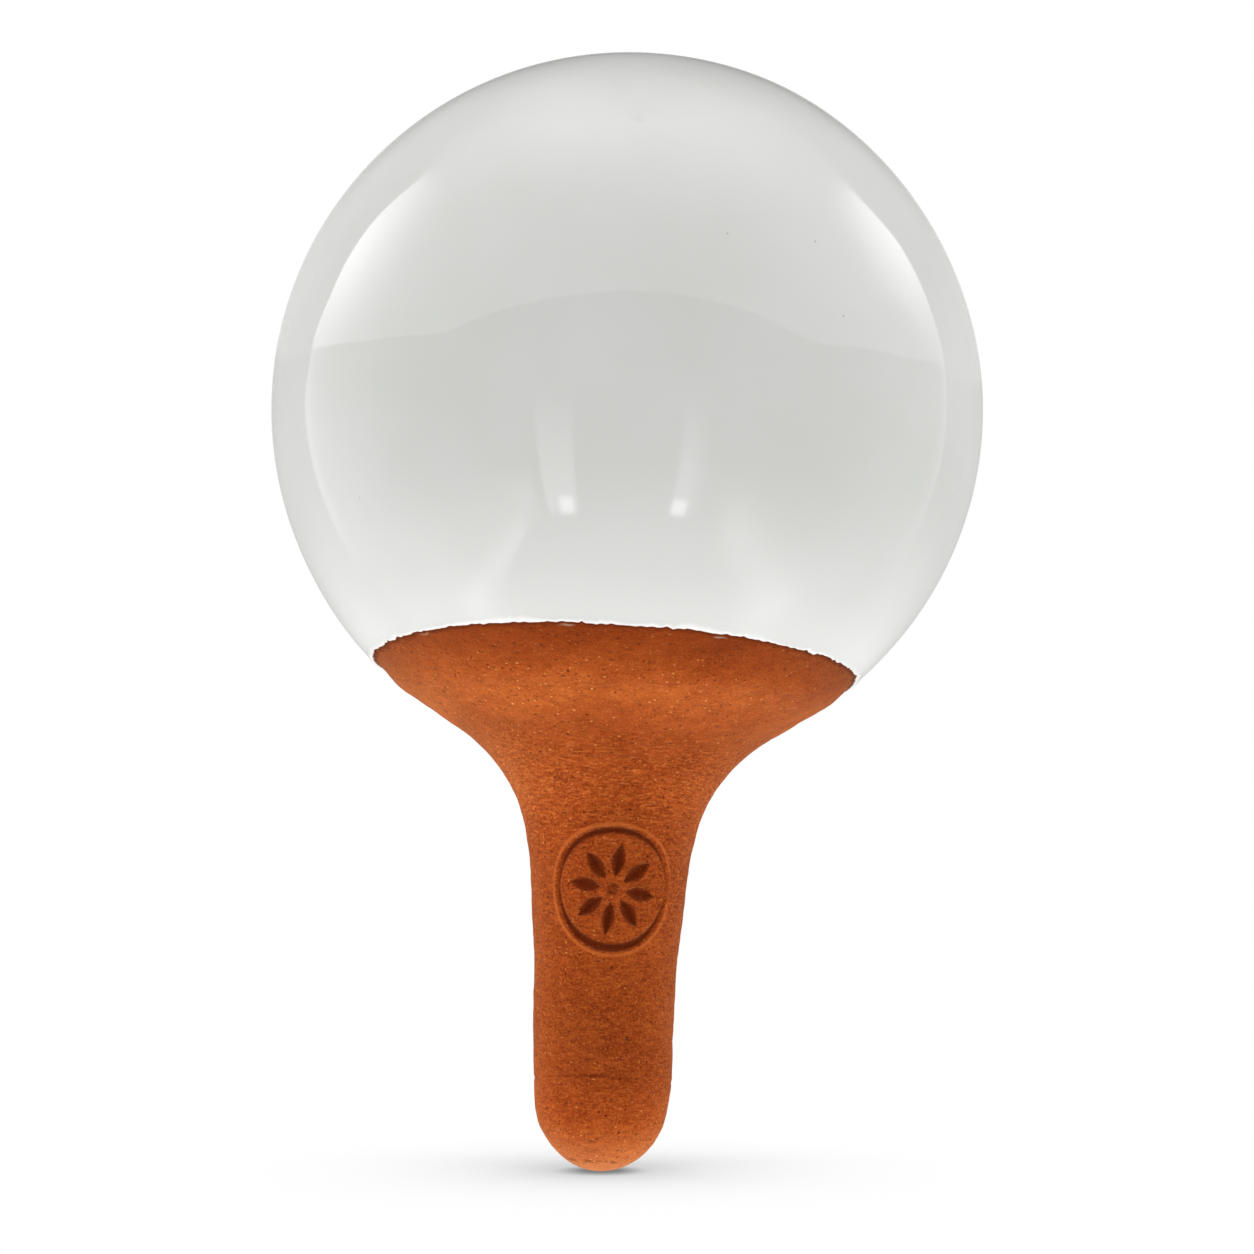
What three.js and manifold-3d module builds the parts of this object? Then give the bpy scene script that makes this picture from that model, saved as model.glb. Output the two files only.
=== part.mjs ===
// Terracotta olla: a glazed globe of water on a bare clay spike that is pushed into the soil.
// Millimetres, +Z up, origin at the lowest point of the tip, front of the olla towards -Y.

import * as THREE from 'three';
import { mergeVertices } from 'three/addons/utils/BufferGeometryUtils.js';
import Module from 'manifold-3d';

const wasm = await Module();
wasm.setup();

// Driving dimensions of the body
const globeDiameter = 120;
const clayWall = 4.5;
const tipRadius = 10.9;
const spikeLength = 50;
const spikeTaper = 3.2;
const neckFillet = 28;
const shoulderRadius = 75;
const shoulderStart = 40;

// Glaze: thickness of the coat, and the tilted, slightly wavy line to which the globe was dipped
const glazeThickness = 0.3;
const glazeGap = 0.2;
const dipAboveNeck = 9.8;
const dipTilt = 5;
const dipWaveHeight = 0.1;
const dipWaves = [{ count: 3, phase: 1 }, { count: 7, phase: 0 }, { count: 11, phase: 2 }];

// Luted joints: the lap at the neck, the seam of the tip and the clearance that the slip fills
const seamGap = 0.3;
const neckLap = 5;
const tipSeamHeight = 15.5;
const tipSpigotLength = 6;

// Fill hole and its tapered stopper
const fillHoleDiameter = 16;
const lipRound = 1.5;
const stopperTaper = 4;
const stopperGap = 0.3;
const stopperLength = 18;
const stopperProud = 2;
const stopperChamfer = 0.8;

// Impressed roundel on the front of the spike
const stampDiameter = 21;
const stampBelowNeck = 3.8;
const stampAzimuth = 3.5;
const stampGrooveWidth = 1.4;
const stampGrooveDepth = 0.6;
const stampCutProud = 1;

// Fineness of the round surfaces
const turnSegments = 48;
const stopperSegments = 32;
const stampSegments = 36;
const arcStep = 7.5;
const weldDistance = 1e-5;
const dipSearchSteps = 30;

const radians = THREE.MathUtils.degToRad;
const point = (r, z) => new THREE.Vector2(r, z);
const polar = (centre, radius, angle) =>
  point(centre.x + radius * Math.cos(angle), centre.y + radius * Math.sin(angle));

// Points of an arc in the half plane of radius and height, both ends included
function arc(centre, radius, from, to) {
  const steps = Math.max(1, Math.ceil(Math.abs(to - from) / radians(arcStep)));
  const points = [];
  for (let i = 0; i <= steps; i += 1) {
    points.push(polar(centre, radius, from + ((to - from) * i) / steps));
  }
  return points;
}

// Distance along a unit direction from a point to the far side of a circle
function reach(start, direction, centre, radius) {
  const offset = start.clone().sub(centre);
  const along = offset.dot(direction);
  return -along + Math.sqrt(along ** 2 - offset.lengthSq() + radius ** 2);
}

// Outline of the bare clay: tip arc, tapered side, neck fillet, shoulder and globe, each tangent to the next
const clayRadius = globeDiameter / 2 - glazeThickness - glazeGap;
const tipCentre = point(0, tipRadius);
const taper = radians(spikeTaper);
const neckBottom = Math.PI - taper;

// Radius of the tapered side at a height, with the surface set in by a depth
const sideRadius = (z, depth) =>
  (tipRadius - depth + (z - tipRadius) * Math.sin(taper)) / Math.cos(taper);

const neckCentre = point(
  sideRadius(spikeLength, 0) + neckFillet * Math.cos(taper),
  spikeLength - neckFillet * Math.sin(taper),
);
const globeEnd = -radians(shoulderStart);
const shoulderSetback = shoulderRadius - clayRadius;
const shoulderX = -shoulderSetback * Math.cos(globeEnd);
const shoulderRise = Math.sqrt((shoulderRadius + neckFillet) ** 2 - (neckCentre.x - shoulderX) ** 2);
const shoulderCentre = point(shoulderX, neckCentre.y + shoulderRise);
const globeCentre = point(0, shoulderCentre.y + shoulderSetback * Math.sin(globeEnd));
const neckTop = shoulderCentre.clone().sub(neckCentre).angle();
const shoulderEnd = neckTop - Math.PI;

// Radius of the outer clay surface between the tip and the globe
function spikeRadius(z) {
  if (z <= spikeLength) {
    return sideRadius(z, 0);
  }
  return neckCentre.x - Math.sqrt(neckFillet ** 2 - (z - neckCentre.y) ** 2);
}

// Fill hole: a tapered seat through the crown, with a rounded lip
const seatTaper = radians(stopperTaper);
const seatNormal = point(Math.cos(seatTaper), -Math.sin(seatTaper));
const seatUp = point(Math.sin(seatTaper), Math.cos(seatTaper));
const fillHoleRadius = fillHoleDiameter / 2;
const seatTop = point(fillHoleRadius, globeCentre.y + Math.sqrt(clayRadius ** 2 - fillHoleRadius ** 2));
const lipStart = seatTop.clone().addScaledVector(seatNormal, lipRound);
const lipRise = reach(lipStart, seatUp, globeCentre, clayRadius - lipRound);
const lipCentre = lipStart.clone().addScaledVector(seatUp, lipRise);
const lipAngle = lipCentre.clone().sub(globeCentre).angle();
const seatDrop = reach(seatTop, seatUp, globeCentre, clayRadius - clayWall);
const seatBottom = seatTop.clone().addScaledVector(seatUp, seatDrop);
const seatBottomAngle = seatBottom.clone().sub(globeCentre).angle();

// Lap joint half way round the neck fillet: the spike's inner half reaches up inside the globe's collar
const seamAngle = (neckTop + neckBottom) / 2;
const seamMiddle = neckFillet + clayWall / 2;
const lapAngle = neckLap / seamMiddle;
const gapAngle = seamGap / neckFillet;

// Solid of revolution about Z from a loop of points, or from a line that starts and ends on the axis
function turned(points, segments) {
  const loop = THREE.ShapeUtils.area(points) < 0 ? points.slice().reverse() : points.slice();
  if (points.every((p) => p.x > 0)) {
    loop.push(loop[0].clone());
  }
  const geometry = new THREE.LatheGeometry(loop, segments);
  geometry.rotateX(Math.PI / 2);
  return weld(geometry);
}

// Bare positions with shared vertices, so that the surface closes on itself
function weld(geometry) {
  geometry.deleteAttribute('normal');
  geometry.deleteAttribute('uv');
  return mergeVertices(geometry, weldDistance);
}

// Ring-shaped solid through a closed series of closed sections
function ringThrough(sections) {
  const count = sections.length;
  const size = sections[0].length;
  const index = [];
  for (let i = 0; i < count; i += 1) {
    const next = (i + 1) % count;
    for (let j = 0; j < size; j += 1) {
      const after = (j + 1) % size;
      const [a, b] = [i * size + j, next * size + j];
      const [c, d] = [next * size + after, i * size + after];
      index.push(a, b, d, b, c, d);
    }
  }
  const geometry = new THREE.BufferGeometry().setFromPoints(sections.flat());
  geometry.setIndex(index);
  return geometry;
}

// Point at an azimuth from the front, towards +X
const around = (azimuth, r, z) =>
  new THREE.Vector3(r * Math.sin(azimuth), -r * Math.cos(azimuth), z);

function solid(geometry) {
  const vertProperties = new Float32Array(geometry.attributes.position.array);
  const triVerts = new Uint32Array(geometry.index.array);
  return new wasm.Manifold(new wasm.Mesh({ numProp: 3, vertProperties, triVerts }));
}

function cut(geometry, tool) {
  const mesh = solid(geometry).subtract(solid(tool)).getMesh();
  const result = new THREE.BufferGeometry();
  result.setAttribute('position', new THREE.BufferAttribute(mesh.vertProperties, 3));
  result.setIndex(new THREE.BufferAttribute(mesh.triVerts, 1));
  return result;
}

// Globe: hollow sphere with the fill hole at its crown and the collar of the lap joint at its foot
function reservoirGlobe() {
  const lapRadius = seamMiddle - seamGap / 2;
  return turned([
    ...arc(neckCentre, neckFillet, seamAngle, neckTop).slice(0, -1),
    ...arc(shoulderCentre, shoulderRadius, shoulderEnd, globeEnd).slice(0, -1),
    ...arc(globeCentre, clayRadius, globeEnd, lipAngle).slice(0, -1),
    ...arc(lipCentre, lipRound, lipAngle, Math.PI - seatTaper),
    ...arc(globeCentre, clayRadius - clayWall, seatBottomAngle, globeEnd).slice(0, -1),
    ...arc(shoulderCentre, shoulderRadius - clayWall, globeEnd, shoulderEnd).slice(0, -1),
    ...arc(neckCentre, neckFillet + clayWall, neckTop, seamAngle - lapAngle),
    ...arc(neckCentre, lapRadius, seamAngle - lapAngle, seamAngle),
  ], turnSegments);
}

// Spike: tapered tube that widens into the neck and ends in the spigot of the lap joint
function seepageSpike() {
  const lapRadius = seamMiddle + seamGap / 2;
  const ledge = seamAngle + gapAngle;
  const spigotTop = seamAngle - lapAngle + gapAngle;
  const tube = turned([
    point(sideRadius(tipSeamHeight, 0), tipSeamHeight),
    ...arc(neckCentre, neckFillet, neckBottom, ledge),
    ...arc(neckCentre, lapRadius, ledge, spigotTop),
    ...arc(neckCentre, neckFillet + clayWall, spigotTop, neckBottom),
    point(sideRadius(tipSeamHeight, clayWall), tipSeamHeight),
  ], turnSegments);
  return cut(tube, stampRing());
}

// Ring groove of the roundel, wrapped round the spike as a rocked stamp leaves it
function stampRing() {
  const outer = stampDiameter / 2;
  const inner = outer - stampGrooveWidth;
  const floor = stampGrooveWidth / 4;
  const section = [
    point(inner + floor, -stampGrooveDepth),
    point(outer - floor, -stampGrooveDepth),
    point(outer, stampCutProud),
    point(inner, stampCutProud),
  ];
  const stampHeight = spikeLength - stampBelowNeck;
  const middleRadius = spikeRadius(stampHeight);
  const sections = [];
  for (let i = 0; i < stampSegments; i += 1) {
    const turn = (2 * Math.PI * i) / stampSegments;
    sections.push(section.map((corner) => {
      const azimuth = radians(stampAzimuth) + (corner.x * Math.cos(turn)) / middleRadius;
      const z = stampHeight + corner.x * Math.sin(turn);
      return around(azimuth, spikeRadius(z) + corner.y, z);
    }));
  }
  return ringThrough(sections);
}

// Tip: solid rounded end with a spigot that plugs the bore of the spike
function spikeTip() {
  const ledge = tipSeamHeight - seamGap;
  const spigotRadius = sideRadius(tipSeamHeight, clayWall) - seamGap;
  const spigotTop = tipSeamHeight + tipSpigotLength;
  return turned([
    ...arc(tipCentre, tipRadius, -Math.PI / 2, -taper),
    point(sideRadius(ledge, 0), ledge),
    point(spigotRadius, ledge),
    point(spigotRadius, spigotTop),
    point(0, spigotTop),
  ], turnSegments);
}

// Lengths of the clay outline from the lip down to the shoulder, the neck fillet and the seam of the neck
const globeLength = clayRadius * (lipAngle - globeEnd);
const shoulderLength = globeLength + shoulderRadius * (globeEnd - shoulderEnd);
const seamLength = shoulderLength + neckFillet * (seamAngle - neckTop);

// Point of the clay outline at a length below the lip, set out by a height above the clay
function outlinePoint(length, height) {
  if (length <= globeLength) {
    return polar(globeCentre, clayRadius + height, lipAngle - length / clayRadius);
  }
  if (length <= shoulderLength) {
    const angle = globeEnd - (length - globeLength) / shoulderRadius;
    return polar(shoulderCentre, shoulderRadius + height, angle);
  }
  return polar(neckCentre, neckFillet - height, neckTop + (length - shoulderLength) / neckFillet);
}

// Length along the outline at which the glaze ends: a tilted dip line with small waves
function dipLength(azimuth) {
  const wave = dipWaves.reduce((sum, { count, phase }) => sum + Math.sin(count * azimuth + phase), 0);
  const dipHeight = outlinePoint(shoulderLength, 0).y + dipAboveNeck + dipWaveHeight * wave;
  const slope = Math.cos(azimuth) * Math.tan(radians(dipTilt));
  let above = 0;
  let below = seamLength;
  for (let i = 0; i < dipSearchSteps; i += 1) {
    const middle = (above + below) / 2;
    const p = outlinePoint(middle, 0);
    if (p.y > dipHeight + p.x * slope) {
      above = middle;
    } else {
      below = middle;
    }
  }
  return above;
}

// Glaze: thin coat over the globe, from the lip of the fill hole to the dip line
function glazeCoat() {
  const steps = Math.ceil((lipAngle - shoulderEnd) / radians(arcStep));
  const sections = [];
  for (let i = 0; i < turnSegments; i += 1) {
    const azimuth = (2 * Math.PI * i) / turnSegments;
    const edge = dipLength(azimuth);
    const inside = [];
    const outside = [];
    for (let j = 0; j <= steps; j += 1) {
      inside.push(outlinePoint((edge * j) / steps, glazeGap));
      outside.push(outlinePoint(((edge - glazeThickness) * j) / steps, glazeGap + glazeThickness));
    }
    const loop = [...inside, ...outside.reverse()];
    sections.push(loop.map((p) => around(azimuth, p.x, p.y)));
  }
  return ringThrough(sections);
}

// Stopper: tapered cork that follows the seat of the fill hole and stands a little proud of the lip
function fillStopper() {
  const top = lipCentre.y + lipRound + stopperProud;
  const bottom = top - stopperLength;
  const radiusAt = (z) =>
    seatTop.x - stopperGap / Math.cos(seatTaper) + (z - seatTop.y) * Math.tan(seatTaper);
  return turned([
    point(0, bottom),
    point(radiusAt(bottom) - stopperChamfer, bottom),
    point(radiusAt(bottom + stopperChamfer), bottom + stopperChamfer),
    point(radiusAt(top - stopperChamfer), top - stopperChamfer),
    point(radiusAt(top) - stopperChamfer, top),
    point(0, top),
  ], stopperSegments);
}

// Finishes
const terracotta = () => new THREE.MeshStandardMaterial({ color: 0xb5602f, roughness: 0.9, metalness: 0 });
const whiteGlaze = () => new THREE.MeshStandardMaterial({ color: 0xd8d9d4, roughness: 0.12, metalness: 0 });
const cork = () => new THREE.MeshStandardMaterial({ color: 0xc39a6b, roughness: 0.85, metalness: 0 });

const olla = new THREE.Group();
olla.name = 'terracotta_olla';

function add(name, geometry, material) {
  const mesh = new THREE.Mesh(geometry, material);
  mesh.name = name;
  olla.add(mesh);
}

add('reservoir_globe', reservoirGlobe(), terracotta());
add('glaze_coat', glazeCoat(), whiteGlaze());
add('seepage_spike', seepageSpike(), terracotta());
add('spike_tip', spikeTip(), terracotta());
add('fill_stopper', fillStopper(), cork());

export default olla;
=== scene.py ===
# Terracotta olla: a white glazed globe on a bare clay spike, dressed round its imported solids.
import math

import bpy
import numpy as np
from mathutils import Matrix, Vector

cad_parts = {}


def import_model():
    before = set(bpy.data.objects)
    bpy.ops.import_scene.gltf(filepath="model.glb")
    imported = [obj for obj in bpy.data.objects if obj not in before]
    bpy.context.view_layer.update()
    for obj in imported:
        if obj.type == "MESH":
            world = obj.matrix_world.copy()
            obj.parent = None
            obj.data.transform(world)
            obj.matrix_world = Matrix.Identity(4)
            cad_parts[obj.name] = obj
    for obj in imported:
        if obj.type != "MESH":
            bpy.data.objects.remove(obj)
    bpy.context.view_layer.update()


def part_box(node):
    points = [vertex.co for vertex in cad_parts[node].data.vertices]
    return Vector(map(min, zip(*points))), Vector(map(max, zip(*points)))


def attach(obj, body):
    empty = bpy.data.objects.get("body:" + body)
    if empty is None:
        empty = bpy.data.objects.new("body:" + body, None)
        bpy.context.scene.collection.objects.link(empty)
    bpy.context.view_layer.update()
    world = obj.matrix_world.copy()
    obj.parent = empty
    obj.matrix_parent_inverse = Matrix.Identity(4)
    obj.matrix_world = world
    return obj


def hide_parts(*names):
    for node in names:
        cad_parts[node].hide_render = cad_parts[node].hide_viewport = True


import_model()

# Sizes of the body in millimetres, the same as those of the solids
MM = 0.001
FULL_TURN = 2 * math.pi
GLOBE_RADIUS = 60.0
CLAY_WALL = 4.5
TIP_RADIUS = 10.9
SPIKE_LENGTH = 50.0
SPIKE_TAPER = math.radians(3.2)
NECK_FILLET = 28.0
SHOULDER_RADIUS = 75.0
SHOULDER_START = math.radians(40)
GLAZE_BUILD = 0.5
SEAM_GAP = 0.3
LEDGE_DROP = SEAM_GAP / 10
NECK_LAP = 5.0
TIP_SPIGOT_LENGTH = 6.0
FILL_HOLE_RADIUS = 8.0
LIP_ROUND = 1.5
SEAT_TAPER = math.radians(4)

# Cork: chamfer of its ends, and its open pores (ranges in millimetres)
CORK_CHAMFER = 0.8
CORK_PORES = 260
CORK_COURSE = math.radians(35)
PORE_STRAY = 0.35
PORE_MARGIN = 0.5
PORE_LENGTHS = (0.25, 1.1)
PORE_WIDTHS = (0.15, 0.4)
PORE_DEPTHS = (0.15, 0.5)
LEVEL_END = 0.9

# Hand of the potter: swellings and hollows (height, place round the axis or None for a ring, z, spread)
SWELLINGS = [
    (0.75, 90, 181.6, 18.0),
    (-0.35, 90, 155.0, 14.0),
    (-0.20, -90, 174.0, 14.0),
    (0.25, -90, 86.0, 10.0),
    (0.50, None, 79.0, 3.5),
    (0.30, None, 54.0, 5.0),
    (-0.35, None, 34.0, 6.0),
    (0.55, 90, 15.0, 5.5),
    (-0.50, -90, 4.0, 6.0),
]
LIP_FADE = 6.0

# Painted light and shade on the clay: paler where light from the floor and the sides falls, darker where
# the front and the glaze's overhang shade it (strength, place round the axis or None for a ring, z, spread)
PAINTED_LIGHT_PATCHES = [
    (0.50, None, 77.0, 9.5),
    (0.22, None, 63.0, 9.0),
    (0.16, -60, 64.0, 13.0),
    (0.14, -24, 75.0, 9.0),
    (-0.30, 66, 82.0, 18.0),
    (-0.24, 22, 83.5, 5.0),
    (-0.12, 4, 59.5, 8.0),
    (0.95, None, 0.0, 13.0),
    (-0.16, 0, 21.0, 9.0),
]

# Throwing lines: count, shortest and longest spacing, sway round the axis and height
THROWING_COUNT = 14
THROWING_SPACING = (0.7, 6.0)
THROWING_SWAY = 2.0
THROWING_HEIGHT = 0.013

# Dip line of the glaze: height on the axis, fall towards +X and towards +Y, and raggedness
DIP_HEIGHT = 82.27
DIP_FALL_X = 0.0118
DIP_FALL_Y = 0.0883
DIP_RAGGED = 0.15
DIP_WAVES = (4, 7, 11, 17, 29, 41)
DIP_FINE_WAVES = (67, 97, 139, 181)
DIP_FINE_PHASE = 1.7
DIP_FINE_WEIGHT = 0.14
DIP_NICKS = 220
NICK_RISE = 0.34
NICK_DRAW = (-0.85, 1)
NICK_WIDTHS = (0.004, 0.014)
NICK_POINT = 1.3
DIP_HALVINGS = 40

# Glaze coat: rounded edge with a bead at the dip line, and a rounded end inside the lip
GLAZE_EDGE_ROUND = 0.55
GLAZE_BEAD = 0.10
GLAZE_BEAD_HEIGHT = 0.75
GLAZE_BEAD_SPREAD = 0.5
GLAZE_BED = 0.03
GLAZE_LIP_ANGLE = math.radians(60)
GLAZE_LIP_ROUND = 0.6

# Crease of the tip's seam: depth, width, where it is deepest, and how it wanders
CREASE_DEPTH = 0.19
CREASE_WIDTH = 0.42
CREASE_FRONT = -0.15
CREASE_SWAY = 0.70
CREASE_SWAY_START = -0.05
CREASE_WAVER = 0.05

# Impressed roundel on the front of the spike
STAMP_AZIMUTH = math.radians(3.5)
STAMP_HEIGHT = 46.2
STAMP_RADIUS = 10.5
STAMP_BORDER = 1.5
STAMP_TURN = math.radians(8)
STAMP_LEAN = math.radians(235)
STAMP_LIP = 0.24
STAMP_LIP_WIDTH = 0.40
STAMP_GROOVE = 0.85
STAMP_GROOVE_INSET = 0.95
STAMP_FIELD = 0.12
STAMP_FIELD_INSETS = (0.9, 1.6)
STAMP_RIDGE = 0.10
STAMP_RIDGE_WIDTH = 0.32
STAMP_PETALS = 8
PETAL_MIDDLE = 4.7
PETAL_LENGTH = 5.4
PETAL_WIDTH = 2.5
PETAL_DEPTH = 1.05
PETAL_WALL = 0.35
PETAL_WALL_REACH = 0.16
PETAL_BURR = 0.09
DOT_DEPTH = 0.42
DOT_RADII = (1.25, 0.75)

# How strongly painted shade darkens the hollows of the marks and a painted highlight lightens their raised
# edges
RING_MARK = 1.35
PETAL_EDGE_MARK = 1.6
PETAL_MARK = 0.66
CREASE_MARK = 3.0

# Spacing of the points of the meshes
OUTLINE_SAMPLES = 2000
SHARP_EDGE = math.radians(50)
CLAY_COLUMNS = 480
CLAY_FRONT_CROWDING = 0.6
INSIDE_STEP = 3.0
GLOBE_FINE_REACH = 32
GLOBE_FINE_STEP = 0.35
GLOBE_STEP = 2.0
LIP_STEP = 0.25
CREASE_REACH = 2
CREASE_STEP = 0.1
SPIKE_STEP = 0.3
STAMP_STEP = 0.13
TIP_POLE_GAP = 0.25
GLAZE_COLUMNS = 1080
GLAZE_LIP_REACH = 3
GLAZE_LIP_STEP = 0.25
GLAZE_STEP = 1.2
GLAZE_EDGE_BAND = 4.0
GLAZE_EDGE_STEP = 0.28
GLAZE_EDGE_START = 1.2
GLAZE_EDGE_ROWS = [0.9, 0.65, 0.45, 0.3, 0.18, 0.09, 0.03, 0.0]
GLAZE_INSIDE_SKIP = 4
GLAZE_INSIDE_HEIGHT = 5.0
CORK_COLUMNS = 240
CORK_STEP = 0.22
CORK_POLE_GAP = 0.15

# Colours of the clay
CLAY_DEEP = (0.297, 0.049, 0.0080, 1)
CLAY_WARM = (0.352, 0.065, 0.0110, 1)
CLAY_MOTTLE = (0.22, 0.033, 0.0040, 1)
CLAY_SHEEN = (1.0, 0.85, 0.45, 1)
STREAK_DARK = (0.18, 0.025, 0.003, 1)
STREAK_LIGHT = (0.47, 0.102, 0.018, 1)
RIPPLE_LIGHT = (0.53, 0.128, 0.025, 1)
RIPPLE_DARK = (0.145, 0.018, 0.0025, 1)
GRAIN_LIGHT = (0.52, 0.118, 0.023, 1)
GRAIN_DARK = (0.13, 0.016, 0.0025, 1)
GROG_LIGHT = (0.64, 0.205, 0.050, 1)
GROG_DARK = (0.14, 0.018, 0.002, 1)
PIT_DARK = (0.14, 0.017, 0.001, 1)
# Painted shade in the hollows of the marks, and a painted highlight on their raised edges
HOLLOW_PAINTED_SHADE = (0.10, 0.011, 0.002, 1)
EDGE_PAINTED_HIGHLIGHT = (0.58, 0.140, 0.028, 1)
# Painted light from the floor on the tip, and the palest end of the foot
FOOT_PALE_AND_FLOOR_LIGHT = (0.68, 0.235, 0.095, 1)
FOOT_RIM = (0.16, 0.022, 0.004, 1)
# Band under the glaze: partly iron flashing, partly painted shade under the globe's overhang; darker line
# at the edge: partly painted shadow, partly glaze staining
UNDER_GLAZE_FLASHING_AND_SHADE = (0.18, 0.026, 0.004, 1)
GLAZE_SHADE = (0.12, 0.017, 0.004, 1)
GLAZE_SMEAR = (0.72, 0.48, 0.36, 1)

# Colours of the glaze and the cork
GLAZE_GREY = (0.624, 0.633, 0.606, 1)
GLAZE_PALE = (0.660, 0.665, 0.642, 1)
GLAZE_SPECK = (0.30, 0.27, 0.23, 1)
GLAZE_LOW = (0.73, 0.735, 0.71, 1)
GLAZE_LOWEST = (0.76, 0.765, 0.74, 1)
# White of the thick bead, partly a painted highlight
GLAZE_BEAD_WHITE_AND_HIGHLIGHT = (0.88, 0.875, 0.86, 1)
GLAZE_EDGE_BROWN = (0.20, 0.06, 0.022, 1)
CORK_TAN = (0.55, 0.33, 0.15, 1)
CORK_PALE = (0.68, 0.46, 0.24, 1)
CORK_GRAIN = (0.40, 0.22, 0.09, 1)
CORK_PORE = (0.16, 0.07, 0.025, 1)

# Camera of the photograph: place in millimetres, turns, lens and sensor
CAMERA_PLACE = (0.0, -420.0, 45.0)
CAMERA_PAN = math.radians(0.188)
CAMERA_PITCH = math.radians(6.159)
CAMERA_ROLL = math.radians(2.24)
CAMERA_LENS = 71.865
CAMERA_SENSOR = 36.0
CAMERA_CLIP = 0.01

# Stage in metres: pale floor, the glowing sheets of a light tent and soft lamps on the clay
FLOOR_HALF = 3.0
FLOOR_GLOW = 1.25
SHADOW_REACH = 0.052
TENT_RADIUS = 1.5
LAMPS = [((-0.90, -0.44, 0.50), 4.0), ((0.98, -0.36, 0.22), 2.2)]
LAMP_SIZE = 0.16
LAMP_AIM = (0.0, 0.0, 0.05)

# Brightness of the floor by how open it is, as ramps that add up (open from, to, brightness from, to)
FLOOR_RAMPS = [(0.0, 1.0, 0.50, 0.86), (0.68, 0.93, 0.0, 0.14), (0.12, 0.48, -0.34, 0.0)]

# Strength of the floor's shadow from front to back (y from, to, strength from, to)
SHADOW_RAMP = (-0.004, 0.022, 0.92, 1.5)

# Spacing of the tent's points in degrees (start, end, step), closest where its sheets meet
TENT_AZIMUTHS = [(0, 16, 1), (16, 30, 0.4), (30, 116, 1), (116, 121, 0.3), (121, 180, 1)]
TENT_ELEVATIONS = [(-88, -42, 1), (-42, -33, 0.4), (-33, 11, 1), (11, 28, 0.25), (28, 90, 1)]


# Outlines
def arc(centre, radius, start, end):
    """Stretch of an outline along an arc: its length, and place and outward direction at a length."""
    turn = math.copysign(1.0, end - start)

    def at(length):
        angle = start + turn * length / radius
        across, up = np.cos(angle), np.sin(angle)
        return np.stack([centre[0] + radius * across, centre[1] + radius * up, turn * across, turn * up])

    return abs(end - start) * radius, at


def line(start, end):
    """Straight stretch of an outline."""
    run = math.hypot(end[0] - start[0], end[1] - start[1])
    across, up = (end[0] - start[0]) / run, (end[1] - start[1]) / run

    def at(length):
        none = np.zeros_like(length)
        return np.stack([start[0] + across * length, start[1] + up * length, none + up, none - across])

    return run, at


def along(stretches, lengths):
    """Radius, height and outward direction of a chain of stretches at the given lengths."""
    lengths = np.asarray(lengths, float)
    result = np.zeros((4,) + lengths.shape)
    start = 0.0
    for number, (run, at) in enumerate(stretches):
        last = number == len(stretches) - 1
        inside = (lengths >= start) & ((lengths < start + run) | last)
        result[:, inside] = at(lengths[inside] - start)
        start += run
    return result


def polar(centre, radius, angle):
    return centre[0] + radius * math.cos(angle), centre[1] + radius * math.sin(angle)


def reach(start, direction, centre, radius):
    """Distance along a unit direction from a point to the far side of a circle."""
    x, z = start[0] - centre[0], start[1] - centre[1]
    ahead = x * direction[0] + z * direction[1]
    return -ahead + math.sqrt(ahead ** 2 - x * x - z * z + radius ** 2)


def side_radius(z, depth=0.0):
    """Radius of the spike's tapered side at a height, at a depth under its surface."""
    return (TIP_RADIUS - depth + (z - TIP_RADIUS) * math.sin(SPIKE_TAPER)) / math.cos(SPIKE_TAPER)


# Outline of the clay: tip, tapered side, neck fillet, shoulder, globe, lip, seat and the inside
clay_radius = GLOBE_RADIUS - GLAZE_BUILD
tip_centre = (0.0, TIP_RADIUS)
neck_centre = (side_radius(SPIKE_LENGTH) + NECK_FILLET * math.cos(SPIKE_TAPER),
               SPIKE_LENGTH - NECK_FILLET * math.sin(SPIKE_TAPER))
setback = SHOULDER_RADIUS - clay_radius
shoulder_x = -setback * math.cos(SHOULDER_START)
shoulder_rise = math.sqrt((SHOULDER_RADIUS + NECK_FILLET) ** 2 - (neck_centre[0] - shoulder_x) ** 2)
shoulder_centre = (shoulder_x, neck_centre[1] + shoulder_rise)
globe_centre = (0.0, shoulder_centre[1] - setback * math.sin(SHOULDER_START))
neck_bottom = math.pi - SPIKE_TAPER
neck_top = math.atan2(shoulder_centre[1] - neck_centre[1], shoulder_centre[0] - neck_centre[0])
shoulder_end = neck_top - math.pi

seat_up = (math.sin(SEAT_TAPER), math.cos(SEAT_TAPER))
seat_top = (FILL_HOLE_RADIUS, globe_centre[1] + math.sqrt(clay_radius ** 2 - FILL_HOLE_RADIUS ** 2))
lip_start = (seat_top[0] + LIP_ROUND * math.cos(SEAT_TAPER), seat_top[1] - LIP_ROUND * math.sin(SEAT_TAPER))
lip_rise = reach(lip_start, seat_up, globe_centre, clay_radius - LIP_ROUND)
lip_centre = (lip_start[0] + lip_rise * seat_up[0], lip_start[1] + lip_rise * seat_up[1])
lip_angle = math.atan2(lip_centre[1] - globe_centre[1], lip_centre[0] - globe_centre[0])
seat_drop = reach(seat_top, seat_up, globe_centre, clay_radius - CLAY_WALL)
seat_bottom = (seat_top[0] + seat_drop * seat_up[0], seat_top[1] + seat_drop * seat_up[1])
seat_bottom_angle = math.atan2(seat_bottom[1] - globe_centre[1], seat_bottom[0] - globe_centre[0])

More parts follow.
